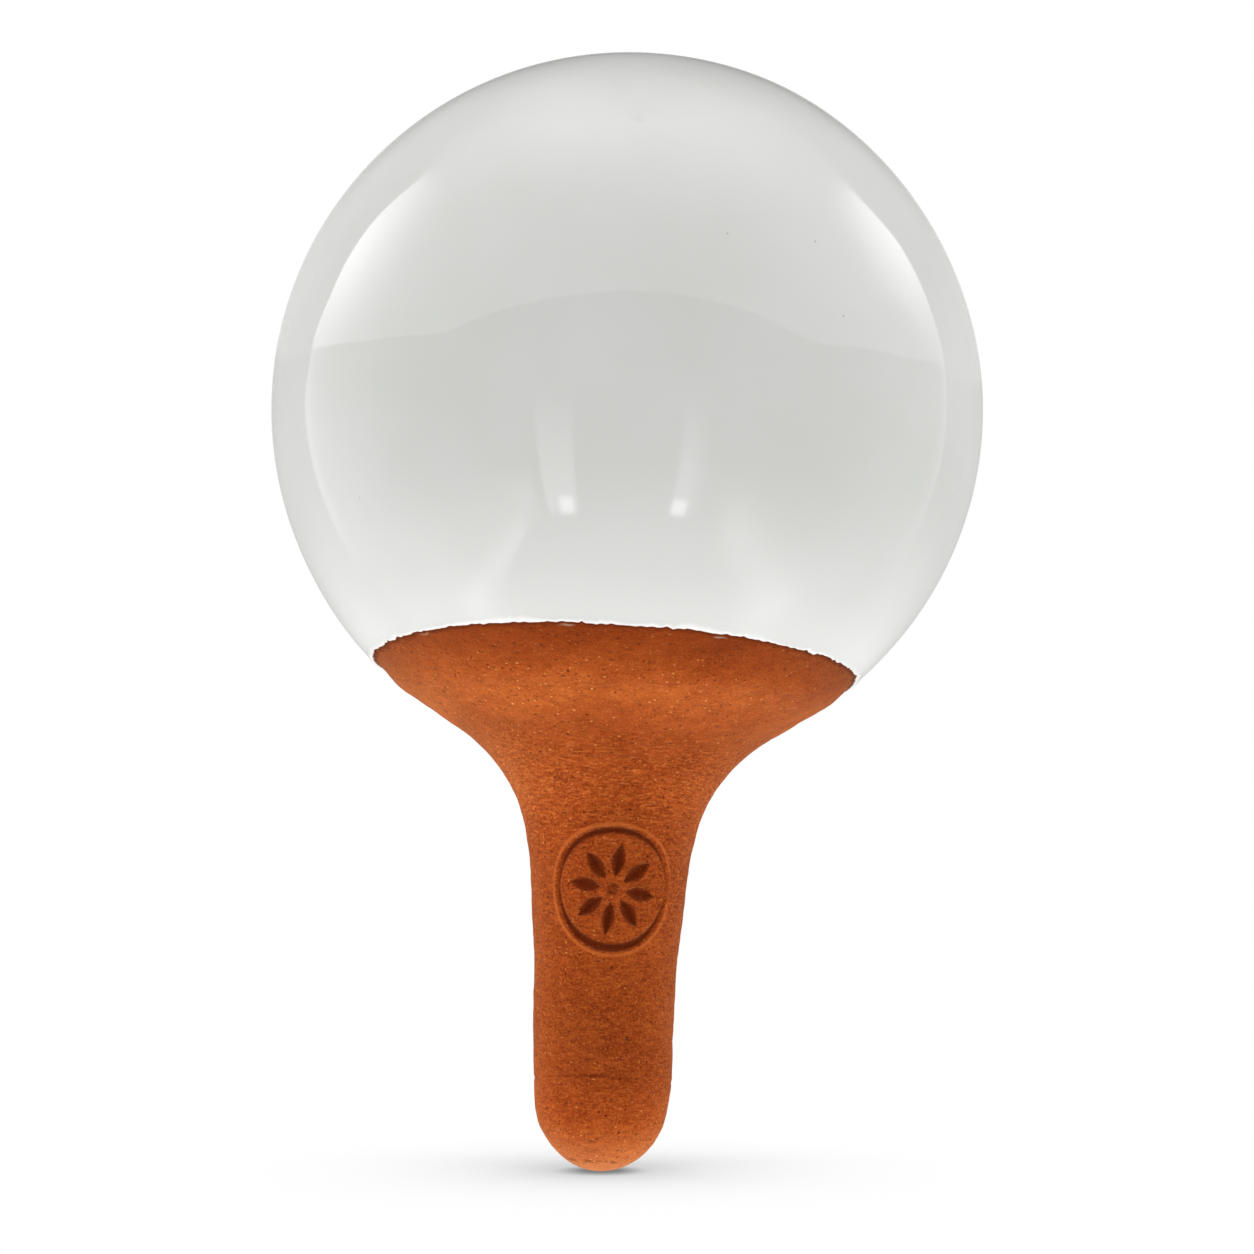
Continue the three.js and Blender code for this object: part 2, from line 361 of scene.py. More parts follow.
tip_top = polar(tip_centre, TIP_RADIUS, -SPIKE_TAPER)
side_top = (side_radius(SPIKE_LENGTH), SPIKE_LENGTH)
outer = [
    arc(tip_centre, TIP_RADIUS, -math.pi / 2, -SPIKE_TAPER),
    line(tip_top, side_top),
    arc(neck_centre, NECK_FILLET, neck_bottom, neck_top),
    arc(shoulder_centre, SHOULDER_RADIUS, shoulder_end, -SHOULDER_START),
    arc(globe_centre, clay_radius, -SHOULDER_START, lip_angle),
    arc(lip_centre, LIP_ROUND, lip_angle, math.pi - SEAT_TAPER),
]
tip_end, side_end, _, _, lip_length, rim_length = np.cumsum([run for run, _ in outer])
tip_seam_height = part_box("seepage_spike")[0].z / MM
tip_seam_length = tip_end + (tip_seam_height - tip_top[1]) / math.cos(SPIKE_TAPER)
seam_angle = (neck_top + neck_bottom) / 2
neck_seam_length = side_end + NECK_FILLET * (neck_bottom - seam_angle)
lap_radius = NECK_FILLET + CLAY_WALL / 2
lap_start = seam_angle - NECK_LAP / lap_radius

rng = np.random.default_rng(7)


# Relief of the surface
def smooth(low, high, value):
    """Smooth step from 0 at low to 1 at high."""
    t = np.clip((value - low) / (high - low), 0, 1)
    return t * t * (3 - 2 * t)


def bell(value, middle, spread):
    return np.exp(-((value - middle) / spread) ** 2)


def between(first, second, share):
    return first + (second - first) * share


def wrapped(angle):
    """Angle brought into the half turn at either side of 0."""
    return np.angle(np.exp(1j * angle))


def quarter_round(value, radius):
    """Rise of a rounded edge, from 0 at the edge to 1 at its radius."""
    return np.sqrt(1 - (1 - np.clip(value / radius, 0, 1)) ** 2)


def throwing_waves():
    """Random sine waves: wave number, phase, sway round the axis, its start and weight."""
    shortest, longest = THROWING_SPACING
    found = []
    for length in np.geomspace(shortest, longest, THROWING_COUNT):
        phase = rng.uniform(0, FULL_TURN)
        sway = rng.uniform(-THROWING_SWAY, THROWING_SWAY)
        start = rng.uniform(0, FULL_TURN)
        found.append((FULL_TURN / length, phase, sway, start, length / longest))
    return found


throwing_lines = throwing_waves()
ragged_waves = [(number, rng.uniform(0, FULL_TURN), number ** -0.5) for number in DIP_WAVES]
ragged_waves += [(number, DIP_FINE_PHASE * number, DIP_FINE_WEIGHT) for number in DIP_FINE_WAVES]
nicks = [(rng.uniform(0, FULL_TURN), NICK_RISE * rng.uniform(*NICK_DRAW) ** 3, rng.uniform(*NICK_WIDTHS))
         for _ in range(DIP_NICKS)]


def place(azimuth, radius, z):
    """Point at an azimuth from the front, towards +X."""
    return np.stack([radius * np.sin(azimuth), -radius * np.cos(azimuth), z + 0 * azimuth], axis=-1)


def patches(places, points, lengths):
    """Sum of soft patches of the given strengths at some places of the body."""
    total = np.zeros(points.shape[:-1])
    table = np.linspace(0, lip_length, OUTLINE_SAMPLES)
    outline = along(outer, table)
    for strength, degrees, z, spread in places:
        if degrees is None:
            distance = lengths - np.interp(z, outline[1], table)
        else:
            radius = np.interp(z, outline[1], outline[0])
            centre = place(np.array(math.radians(degrees)), radius, z)
            distance = np.linalg.norm(points - centre, axis=-1)
        total += strength * bell(distance, 0, spread)
    return total


def throwing(azimuth, lengths):
    """Fine lines left by the fingers on the turning clay."""
    total = 0.0
    for number, phase, sway, start, weight in throwing_lines:
        total = total + weight * np.sin(number * lengths + phase + sway * np.sin(azimuth + start))
    return THROWING_HEIGHT * total


def dip_height(azimuth, radius):
    """Height of the ragged dip line at an azimuth and radius."""
    spot = place(azimuth, radius, 0.0)
    ragged = DIP_RAGGED * sum(weight * np.sin(number * azimuth + phase)
                              for number, phase, weight in ragged_waves)
    for middle, rise, width in nicks:
        away = wrapped(azimuth - middle) / width
        ragged = ragged + rise * np.exp(-np.abs(away) ** NICK_POINT)
    return DIP_HEIGHT - DIP_FALL_X * spot[..., 0] - DIP_FALL_Y * spot[..., 1] + ragged


def dip_length(azimuth):
    """Length along the outline at which the dip line crosses it."""
    low = np.full(azimuth.shape, neck_seam_length)
    high = np.full(azimuth.shape, lip_length)
    for _ in range(DIP_HALVINGS):
        middle = (low + high) / 2
        radius, z = along(outer, middle)[:2]
        below = z < dip_height(azimuth, radius)
        low = np.where(below, middle, low)
        high = np.where(below, high, middle)
    return low


def stamp_ring(distance, bearing):
    """Lip, groove, level field and inner ridge of the roundel, pressed in unevenly round it."""
    press = 0.34 + 0.55 * np.abs(np.sin(bearing)) ** 1.3 + 0.14 * np.cos(bearing - STAMP_LEAN)
    groove_width = 0.10 + 0.52 * press
    from_groove = distance - STAMP_RADIUS + STAMP_GROOVE_INSET
    field_start, field_end = STAMP_FIELD_INSETS
    lip = STAMP_LIP * press * bell(distance, STAMP_RADIUS, STAMP_LIP_WIDTH)
    groove = -STAMP_GROOVE * press * bell(from_groove, 0, groove_width)
    field = -STAMP_FIELD * smooth(STAMP_RADIUS - field_start, STAMP_RADIUS - field_end, distance)
    ridge = STAMP_RIDGE * bell(from_groove + 2.0 * groove_width, 0, STAMP_RIDGE_WIDTH)
    return lip + groove + field + ridge


def stamp_flower(distance, bearing):
    """Flower of eight sunk petals with a raised burr, round a dot."""
    fold = wrapped(STAMP_PETALS * (bearing + STAMP_TURN)) / STAMP_PETALS
    along_petal = (distance * np.cos(fold) - PETAL_MIDDLE) / (PETAL_LENGTH / 2)
    across_petal = distance * np.sin(fold) / (PETAL_WIDTH / 2)
    petal = np.clip(1 - along_petal ** 2 - np.abs(across_petal), -0.5, 1)
    wall = PETAL_WALL * smooth(0, PETAL_WALL_REACH, petal)
    petals = -PETAL_DEPTH * (wall + (1 - PETAL_WALL) * np.clip(petal, 0, 1))
    petals = petals + PETAL_BURR * bell(petal, -0.12, 0.1)
    return petals - DOT_DEPTH * smooth(*DOT_RADII, distance)


def stamp(azimuth, z):
    """Relief of the roundel in two parts: its ring and its flower."""
    across = wrapped(azimuth - STAMP_AZIMUTH) * side_radius(STAMP_HEIGHT)
    up = z - STAMP_HEIGHT
    distance = np.hypot(across, up)
    bearing = np.arctan2(up, across)
    near = distance < STAMP_RADIUS + 2 * STAMP_BORDER
    ring = np.where(near, stamp_ring(distance, bearing), 0.0)
    return ring, np.where(near, stamp_flower(distance, bearing), 0.0)


def crease(azimuth, lengths):
    """Fine groove that wanders along the seam of the tip, deepest at the front."""
    depth = CREASE_DEPTH * (0.5 + 0.5 * np.cos((azimuth - CREASE_FRONT) / 2) ** 24)
    depth = depth * (0.88 + 0.12 * np.sin(9 * azimuth + 2.6))
    path = tip_seam_length + CREASE_SWAY * np.cos(2 * (azimuth - CREASE_SWAY_START))
    path = path + CREASE_WAVER * np.sin(13 * azimuth)
    return -depth * np.exp(-np.abs((lengths - path) / CREASE_WIDTH) ** 1.5)


# Meshes
def columns():
    """Azimuths of the clay's columns, closer together at the front, where the roundel is."""
    even = FULL_TURN * np.arange(CLAY_COLUMNS) / CLAY_COLUMNS
    return even - CLAY_FRONT_CROWDING * np.sin(even)


def spaced(start, end, step):
    """Even steps from start to end, both included."""
    return np.linspace(start, end, max(2, round(abs(end - start) / step) + 1))


def add_object(name, data):
    made = bpy.data.objects.new(name, data)
    bpy.context.scene.collection.objects.link(made)
    return made


def store(mesh, name, values):
    """Keep one number for each point of a mesh."""
    kept = mesh.attributes.new(name, "FLOAT", "POINT")
    kept.data.foreach_set("value", values.astype(np.float32))


def mesh_object(name, rows, closed_rows, **values):
    """Mesh of rows round the axis. A row of one point is a pole; closed rows join last to first."""
    starts = np.cumsum([0] + [len(row) for row in rows])
    faces = []
    pairs = list(zip(range(len(rows) - 1), range(1, len(rows))))
    if closed_rows:
        pairs.append((len(rows) - 1, 0))
    for low, high in pairs:
        count = max(len(rows[low]), len(rows[high]))
        here = np.arange(count)
        after = (here + 1) % count
        a, b = starts[low], starts[high]
        if len(rows[low]) == 1:
            faces += np.stack([a + 0 * here, b + after, b + here], axis=1).tolist()
        elif len(rows[high]) == 1:
            faces += np.stack([a + here, a + after, b + 0 * here], axis=1).tolist()
        else:
            faces += np.stack([a + here, a + after, b + after, b + here], axis=1).tolist()
    mesh = bpy.data.meshes.new(name)
    mesh.from_pydata((np.concatenate(rows) * MM).tolist(), [], faces)
    for key, value in values.items():
        store(mesh, key, np.concatenate(value))
    mesh.shade_smooth()
    mesh.set_sharp_from_angle(angle=SHARP_EDGE)
    return add_object(name, mesh)


def clay_rows(lengths):
    """Points of the clay's outer surface, with the weights of the painted shade and highlights of its
    marks, height under the dip and painted light.
    """
    azimuth = columns()[None, :]
    radius, z, out_r, out_z = (part[:, None] for part in along(outer, lengths))
    length = np.asarray(lengths)[:, None] + 0 * azimuth
    azimuths, radii = azimuth + 0 * radius, radius + 0 * azimuth
    points = place(azimuths, radii, z)
    fade = smooth(lip_length, lip_length - LIP_FADE, length)
    push = patches(SWELLINGS, points, length) * fade
    # Painted light and shade from the patches: paler where the floor and sides light the clay, darker where
    # it is shaded
    tone = patches(PAINTED_LIGHT_PATCHES, points, length)
    seam = crease(azimuth, length)
    ring, flower = stamp(azimuth, z)
    # Weights of the painted shade in the hollows and the painted highlight on the raised edges of the ring,
    # petals and crease
    petal_mark = np.where(flower > 0, PETAL_EDGE_MARK, PETAL_MARK)
    marks = RING_MARK * ring + petal_mark * flower + CREASE_MARK * seam
    push = push + (ring + flower + seam + throwing(azimuth, length)) * fade
    points = place(azimuths, radius + push * out_r, z + push * out_z)
    below = dip_height(azimuths, radii) - z
    return list(points), list(marks), list(below), list(tone)


def plain_rows(profile):
    """Rows for the hidden inside, from points of radius and height."""
    azimuth = columns()
    rows = [place(azimuth, radius, np.array(z)) for radius, z in profile]
    none = [np.zeros(CLAY_COLUMNS) for _ in profile]
    return rows, none, none, none


def arc_points(centre, radius, start, end):
    """Points of radius and height along an arc of the inside."""
    return [polar(centre, radius, angle) for angle in spaced(start, end, INSIDE_STEP / radius)]


def joined(*groups):
    """Rows and their values from several groups, one after the other."""
    return [sum((list(group[part]) for group in groups), []) for part in range(4)]


def globe_piece():
    """Hollow globe from the seam at the neck up to the seat of the fill hole."""
    fine_end = neck_seam_length + GLOBE_FINE_REACH
    lengths = np.concatenate([
        spaced(neck_seam_length, fine_end, GLOBE_FINE_STEP)[:-1],
        spaced(fine_end, lip_length, GLOBE_STEP)[:-1],
        spaced(lip_length, rim_length, LIP_STEP),
    ])
    inside = (
        arc_points(globe_centre, clay_radius - CLAY_WALL, seat_bottom_angle, -SHOULDER_START)[:-1]
        + arc_points(shoulder_centre, SHOULDER_RADIUS - CLAY_WALL, -SHOULDER_START, shoulder_end)[:-1]
        + arc_points(neck_centre, NECK_FILLET + CLAY_WALL, neck_top, lap_start)
        + arc_points(neck_centre, lap_radius - SEAM_GAP / 2, lap_start, seam_angle)
    )
    rows, relief, below, tone = joined(clay_rows(lengths), plain_rows(inside))
    return mesh_object("globe_clay", rows, True, relief=relief, below_dip=below, tone=tone)


def spike_piece():
    """Hollow spike from the seam of the tip to the seam at the neck, with the roundel."""
    crease_end = tip_seam_length + CREASE_REACH
    stamp_low = tip_seam_length + (STAMP_HEIGHT - STAMP_RADIUS - STAMP_BORDER - tip_seam_height)
    stamp_high = stamp_low + 2 * STAMP_RADIUS + 2 * STAMP_BORDER
    lengths = np.concatenate([
        spaced(tip_seam_length, crease_end, CREASE_STEP)[:-1],
        spaced(crease_end, stamp_low, SPIKE_STEP)[:-1],
        spaced(stamp_low, stamp_high, STAMP_STEP)[:-1],
        spaced(stamp_high, neck_seam_length, SPIKE_STEP),
    ])
    lap_end = lap_start + SEAM_GAP / NECK_FILLET
    inside = (
        arc_points(neck_centre, lap_radius + SEAM_GAP / 2, seam_angle, lap_end)
        + arc_points(neck_centre, NECK_FILLET + CLAY_WALL, lap_end, neck_bottom)
        + [(side_radius(tip_seam_height, CLAY_WALL), tip_seam_height)]
    )
    rows, relief, below, tone = joined(clay_rows(lengths), plain_rows(inside))
    return mesh_object("spike_clay", rows, True, relief=relief, below_dip=below, tone=tone)


def tip_piece():
    """Rounded tip with the spigot that enters the spike."""
    crease_start = tip_seam_length - CREASE_REACH
    lengths = np.concatenate([
        spaced(TIP_POLE_GAP, crease_start, SPIKE_STEP)[:-1],
        spaced(crease_start, tip_seam_length, CREASE_STEP),
    ])
    spigot_radius = side_radius(tip_seam_height, CLAY_WALL) - SEAM_GAP
    spigot_top = tip_seam_height + TIP_SPIGOT_LENGTH
    inside = [(spigot_radius, tip_seam_height - LEDGE_DROP), (spigot_radius, spigot_top)]
    rows, relief, below, tone = joined(clay_rows(lengths), plain_rows(inside))
    first, last = np.array([[0.0, 0.0, 0.0]]), np.array([[0.0, 0.0, spigot_top]])
    none = np.zeros(1)
    rows = [first] + rows + [last]
    relief = [none] + relief + [none]
    tone = [none + tone[0][0]] + tone + [none]
    below = [none + below[0][0]] + below + [none]
    return mesh_object("tip_clay", rows, False, relief=relief, below_dip=below, tone=tone)


def glaze_lengths(top, edge):
    """Lengths of the coat's rows from its top down to the dip line, closest at both ends."""
    body_end = top - edge.mean() - GLAZE_EDGE_BAND
    down = np.concatenate([
        spaced(0, GLAZE_LIP_REACH, GLAZE_LIP_STEP)[:-1],
        spaced(GLAZE_LIP_REACH, body_end, GLAZE_STEP),
    ])
    rises = np.concatenate([
        spaced(GLAZE_EDGE_BAND, GLAZE_EDGE_START, GLAZE_EDGE_STEP)[1:],
        GLAZE_EDGE_ROWS,
    ])
    rows = [top + (edge + GLAZE_EDGE_BAND - top) * share for share in down / down[-1]]
    return np.array(rows + [edge + rise for rise in rises])


def glaze_surface(azimuth, lengths, height):
    """Points at a height over the clay's swollen outline."""
    radius, z, out_r, out_z = along(outer, lengths)
    azimuths = azimuth[None, :] + 0 * radius
    points = place(azimuths, radius, z)
    fade = smooth(lip_length, lip_length - LIP_FADE, lengths)
    push = height + patches(SWELLINGS, points, lengths) * fade
    return place(azimuths, radius + push * out_r, z + push * out_z)


def glaze_piece():
    """Coat from the lip down to the ragged dip line, where it ends in a rounded bead."""
    azimuth = FULL_TURN * np.arange(GLAZE_COLUMNS) / GLAZE_COLUMNS
    edge = dip_length(azimuth)
    top = lip_length + LIP_ROUND * GLAZE_LIP_ANGLE
    lengths = glaze_lengths(top, edge)
    height = lengths - edge[None, :]
    bead = GLAZE_BEAD * bell(height, GLAZE_BEAD_HEIGHT, GLAZE_BEAD_SPREAD)
    ends = quarter_round(height, GLAZE_EDGE_ROUND)
    thick = (GLAZE_BUILD - GLAZE_BED + bead) * ends * quarter_round(top - lengths, GLAZE_LIP_ROUND)
    outside = list(glaze_surface(azimuth, lengths, GLAZE_BED + thick))
    inner_lengths = lengths[::-1][::GLAZE_INSIDE_SKIP]
    inside = list(glaze_surface(azimuth, inner_lengths, GLAZE_BED + 0 * inner_lengths)[1:-1])
    hidden = [np.full(GLAZE_COLUMNS, GLAZE_INSIDE_HEIGHT)] * len(inside)
    return mesh_object("glaze_skin", outside[::-1] + inside[::-1], True,
                       above_dip=list(height)[::-1] + hidden)


def cork_profile(bottom, top, widest):
    """Outline of the cork from the middle of its lower end to that of its upper end."""
    def radius_at(z):
        return widest - (top - CORK_CHAMFER - z) * math.tan(SEAT_TAPER)

    corners = [
        (0.0, bottom),
        (radius_at(bottom) - CORK_CHAMFER, bottom),
        (radius_at(bottom + CORK_CHAMFER), bottom + CORK_CHAMFER),
        (widest, top - CORK_CHAMFER),
        (radius_at(top) - CORK_CHAMFER, top),
        (0.0, top),
    ]
    return [line(start, end) for start, end in zip(corners, corners[1:])]


def cork_pores(profile, total, widest, points):
    """Depth of the open pores: long round the side, in one course on the ends."""
    depth = np.zeros(points.shape[:-1])
    for _ in range(CORK_PORES):
        spot_length = rng.uniform(PORE_MARGIN, total - PORE_MARGIN)
        spot_azimuth = rng.uniform(0, FULL_TURN)
        spot_r, spot_z, _, spot_out = along(profile, np.array([spot_length]))
        if rng.uniform(0, widest) > spot_r[0]:
            continue
        spot = place(np.array([spot_azimuth]), spot_r, spot_z)[0]
        on_end = abs(spot_out[0]) > LEVEL_END
        course = rng.normal(CORK_COURSE, PORE_STRAY) if on_end else spot_azimuth + math.pi / 2
        flat = place(np.array([course]), np.array([1.0]), np.array([0.0]))[0]
        offset = points - spot
        across = offset @ flat
        rest = np.linalg.norm(offset - across[..., None] * flat, axis=-1)
        long, short = rng.uniform(*PORE_LENGTHS), rng.uniform(*PORE_WIDTHS)
        pore = np.exp(-((across / long) ** 2 + (rest / short) ** 2) ** 2)
        depth = np.maximum(depth, rng.uniform(*PORE_DEPTHS) * pore)
    return depth


def cork_piece():
    """Tapered cork with chamfered ends and open pores."""
    low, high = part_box("fill_stopper")
    bottom, top = low.z / MM, high.z / MM
    widest = (high.x - low.x) / 2 / MM
    profile = cork_profile(bottom, top, widest)
    total = sum(run for run, _ in profile)
    lengths = spaced(CORK_POLE_GAP, total - CORK_POLE_GAP, CORK_STEP)
    azimuth = FULL_TURN * np.arange(CORK_COLUMNS) / CORK_COLUMNS
    radius, z, out_r, out_z = (part[:, None] for part in along(profile, lengths))
    azimuths = azimuth[None, :] + 0 * radius
    points = place(azimuths, radius + 0 * azimuth, z)
    outward = place(azimuths, out_r + 0 * azimuth, out_z)
    depth = cork_pores(profile, total, widest, points)
    points = points - depth[..., None] * outward
    rows = [np.array([[0.0, 0.0, bottom]])] + list(points) + [np.array([[0.0, 0.0, top]])]
    none = np.zeros(1)
    return mesh_object("cork_stopper", rows, False, pore=[none] + list(depth) + [none])


# Materials
def feed(tree, socket, value):
    """Link a socket to another one, or set it to a value."""
    if isinstance(value, bpy.types.NodeSocket):
        tree.links.new(value, socket)
    else:
        socket.default_value = value


def node(tree, kind, settings=None, **inputs):
    """New node with its settings, and its inputs set to values or linked to sockets."""
    made = tree.nodes.new(kind)
    for key, value in (settings or {}).items():
        setattr(made, key, value)
    for key, value in inputs.items():
        feed(tree, made.inputs[key.replace("_", " ")], value)
    return made


def mixed(tree, factor, first, second, blend="MIX"):
    """Mix of two colours."""
    made = node(tree, "ShaderNodeMix", {"data_type": "RGBA", "blend_type": blend})
    for socket, value in ((made.inputs[0], factor), (made.inputs[6], first), (made.inputs[7], second)):
        feed(tree, socket, value)
    return made.outputs[2]


def maths(tree, operation, first, second):
    """Two values worked into one."""
    made = node(tree, "ShaderNodeMath", {"operation": operation})
    for socket, value in zip(made.inputs, (first, second)):
        feed(tree, socket, value)
    return made.outputs[0]


def product(tree, first, second):
    return maths(tree, "MULTIPLY", first, second)


def ramp(tree, value, low, high, to_low=0.0, to_high=1.0, kind="SMOOTHSTEP"):
    """Value mapped from one range to another."""
    made = node(tree, "ShaderNodeMapRange", {"interpolation_type": kind}, Value=value,
                From_Min=low, From_Max=high, To_Min=to_low, To_Max=to_high)
    return made.outputs["Result"]


def tinted(tree, colour, tint, value, low, high, strength=1.0, where=None):
    """Colour turned to a tint as a value goes from low to high, all over or by a share."""
    share = ramp(tree, value, low, high, 0.0, strength)
    if where is not None:
        share = product(tree, where, share)
    return mixed(tree, share, colour, tint)


def millimetres(tree, scale=(1.0, 1.0, 1.0)):
    """The object's own coordinates in millimetres, stretched by a scale."""
    coordinates = node(tree, "ShaderNodeTexCoord").outputs["Object"]
    factor = tuple(part / MM for part in scale)
    return node(tree, "ShaderNodeMapping", Vector=coordinates, Scale=factor).outputs["Vector"]


def noise(tree, vector, scale, detail=2.0, roughness=0.5):
    return node(tree, "ShaderNodeTexNoise", Vector=vector, Scale=scale, Detail=detail,
                Roughness=roughness).outputs["Fac"]


def attribute(tree, name):
    return node(tree, "ShaderNodeAttribute", {"attribute_name": name}).outputs["Fac"]


def specks(tree, vector, scale, size, chance):
    """Grains of many sizes: 1 inside a grain, for the share of cells given by chance."""
    cells = node(tree, "ShaderNodeTexVoronoi", Vector=vector, Scale=scale)
    draws = node(tree, "ShaderNodeSeparateColor", Color=cells.outputs["Color"])
    swell = ramp(tree, draws.outputs["Green"], 0.0, 1.0, 0.4, 1.0, "LINEAR")
    distance = maths(tree, "DIVIDE", cells.outputs["Distance"], swell)
    inside = ramp(tree, distance, size, size * 0.75)
    return product(tree, inside, maths(tree, "LESS_THAN", draws.outputs["Red"], chance))


def crumpled(tree, vector, scale, amount):
    """Coordinates shaken by noise, so that round grains become ragged."""
    shake = node(tree, "ShaderNodeTexNoise", Vector=vector, Scale=scale, Detail=2.0).outputs["Color"]
    made = node(tree, "ShaderNodeVectorMath", {"operation": "MULTIPLY_ADD"})
    for socket, value in zip(made.inputs, (shake, (amount, amount, amount), vector)):
        feed(tree, socket, value)
    return made.outputs["Vector"]


def new_material(name):
    material = bpy.data.materials.new(name)
    material.use_nodes = True
    tree = material.node_tree
    return material, tree, tree.nodes["Principled BSDF"]


def finish_surface(tree, shader, colour, rise, bump_height, bump_strength=1.0, **values):
    """Colour, bump in millimetres and plain values of a shader."""
    tree.links.new(colour, shader.inputs["Base Color"])
    bump = node(tree, "ShaderNodeBump", Height=rise, Strength=bump_strength, Distance=bump_height * MM)
    tree.links.new(bump.outputs["Normal"], shader.inputs["Normal"])
    for key, value in values.items():
        shader.inputs[key.replace("_", " ")].default_value = value


def clay_ground(tree, place_mm, mottle):
    """Ground colour in wide blotches, mottled with darker clay."""
    blotches = noise(tree, place_mm, 0.09, 3.0, 0.55)
    colour = mixed(tree, ramp(tree, blotches, 0.36, 0.64), CLAY_DEEP, CLAY_WARM)
    return tinted(tree, colour, CLAY_MOTTLE, mottle, 0.40, 0.66, 0.40)


def clay_grain(tree, place_mm, height, colour):
    """Throwing streaks, ripples at the neck and fine grain: the colour and the rise."""
    streaks = noise(tree, crumpled(tree, millimetres(tree, (0.30, 0.30, 1.0)), 0.6, 0.9), 1.8, 2.0, 0.55)
    ripples = noise(tree, crumpled(tree, millimetres(tree, (0.22, 0.22, 1.0)), 0.9, 0.9), 3.2, 1.0)
    grain = noise(tree, place_mm, 2.7, 3.0, 0.7)
    rough = product(tree, ramp(tree, height, 62.0, 73.0, 1.0, 0.62),
                    ramp(tree, height, 5.0, 16.0, 0.75, 1.0))
    neck = product(tree, ramp(tree, height, 50.0, 57.0, 0.45, 1.0),
                   ramp(tree, height, 74.0, 65.0))
    colour = tinted(tree, colour, STREAK_DARK, streaks, 0.52, 0.68, 0.55, rough)
    colour = tinted(tree, colour, STREAK_LIGHT, streaks, 0.46, 0.30, 0.45, rough)
    lines = product(tree, neck, ramp(tree, ripples, 0.54, 0.66, 0.0, 0.56))
    colour = mixed(tree, lines, colour, RIPPLE_LIGHT)
    colour = tinted(tree, colour, RIPPLE_DARK, ripples, 0.46, 0.34, 0.46, neck)
    colour = tinted(tree, colour, GRAIN_LIGHT, grain, 0.52, 0.65, 0.60, rough)
    colour = tinted(tree, colour, GRAIN_DARK, grain, 0.47, 0.34, 0.60, rough)
    rise = maths(tree, "ADD", grain, product(tree, streaks, -1.2))
    return colour, maths(tree, "ADD", rise, product(tree, lines, 0.8))


def clay_grog(tree, place_mm, height, colour, rise):
    """Light grog that stands out, and dark grog and pits that lie deeper."""
    ragged = crumpled(tree, place_mm, 1.6, 0.5)
    flat_ragged = crumpled(tree, millimetres(tree, (0.7, 0.7, 1.25)), 1.6, 0.5)
    light = specks(tree, flat_ragged, 1.6, 0.33, 0.26)
    dust = specks(tree, flat_ragged, 1.4, 0.34, ramp(tree, height, 62.0, 72.0, 0.22, 0.36))
    pits = specks(tree, ragged, 0.95, 0.27, ramp(tree, height, 4.0, 18.0, 0.46, 0.22))
    for grains, strength, tint, lift in [
        (light, 0.70, GROG_LIGHT, 0.3),
        (dust, 0.72, GROG_DARK, -0.5),
        (pits, 0.95, PIT_DARK, -0.5),
    ]:
        colour = mixed(tree, product(tree, grains, strength), colour, tint)
        rise = maths(tree, "ADD", rise, product(tree, grains, lift))
    return colour, rise


def clay_marks(tree, colour):
    """Painted shade in the hollows of the marks and a painted highlight on their raised edges, then the
    painted light and shade of the patches.
    """
    relief = attribute(tree, "relief")
    # Painted shade in the hollows of the marks, and a painted highlight on their raised edges
    colour = tinted(tree, colour, HOLLOW_PAINTED_SHADE, relief, -0.14, -0.72, 0.85)
    colour = tinted(tree, colour, EDGE_PAINTED_HIGHLIGHT, relief, 0.02, 0.18, 0.50)
    # Painted light and shade: the patches make the clay paler where light from the floor and sides falls,
    # and darker where it is shaded
    tone = attribute(tree, "tone")
    gain = maths(tree, "ADD", tone, 1.0)
    lift = maths(tree, "MAXIMUM", maths(tree, "SUBTRACT", tone, 0.18), 0.0)
    green = maths(tree, "ADD", gain, product(tree, lift, 0.8))
    blue = maths(tree, "ADD", gain, product(tree, lift, 1.1))
    shade = node(tree, "ShaderNodeCombineColor", Red=gain, Green=green, Blue=blue).outputs["Color"]
    return mixed(tree, 1.0, colour, shade, "MULTIPLY")


def clay_foot(tree, place_mm, height, mottle, colour):
    """Paler foot, with painted light from the floor growing towards its end, palest below a ragged line
    near its end, with a broken dark rim.
    """
    # Painted light: paler towards the end of the tip, where light from the floor falls
    colour = tinted(tree, colour, FOOT_PALE_AND_FLOOR_LIGHT, height, 9.0, 0.0, 0.30)
    foot = maths(tree, "ADD", height, product(tree, mottle, 0.8))
    colour = tinted(tree, colour, FOOT_PALE_AND_FLOOR_LIGHT, foot, 2.5, 2.25, 0.22)
    rim = product(tree, ramp(tree, foot, 2.95, 2.65), ramp(tree, foot, 2.25, 2.5))
    broken = ramp(tree, noise(tree, place_mm, 0.7), 0.46, 0.56, 0.0, 0.6)
    return mixed(tree, product(tree, rim, broken), colour, FOOT_RIM)


def clay_under_glaze(tree, place_mm, colour):
    """Darker band below the dip line, partly iron flashing and partly painted shade under the globe's
    overhang, a darker line right under the edge, partly painted shadow and partly glaze staining, and a few
    smears of glaze.
    """
    below = attribute(tree, "below_dip")
    # Partly iron flashing, partly painted shade under the globe's overhang
    colour = tinted(tree, colour, UNDER_GLAZE_FLASHING_AND_SHADE, below, 9.0, 0.0, 0.46)
    # Partly painted shadow, partly staining from the glaze
    colour = tinted(tree, colour, GLAZE_SHADE, below, 0.70, 0.12, 0.72)
    smear = product(tree, ramp(tree, below, 0.70, 0.55), ramp(tree, below, 0.30, 0.45))
    few = ramp(tree, noise(tree, place_mm, 0.11, 2.0), 0.62, 0.68, 0.0, 0.6)
    return mixed(tree, product(tree, smear, few), colour, GLAZE_SMEAR)


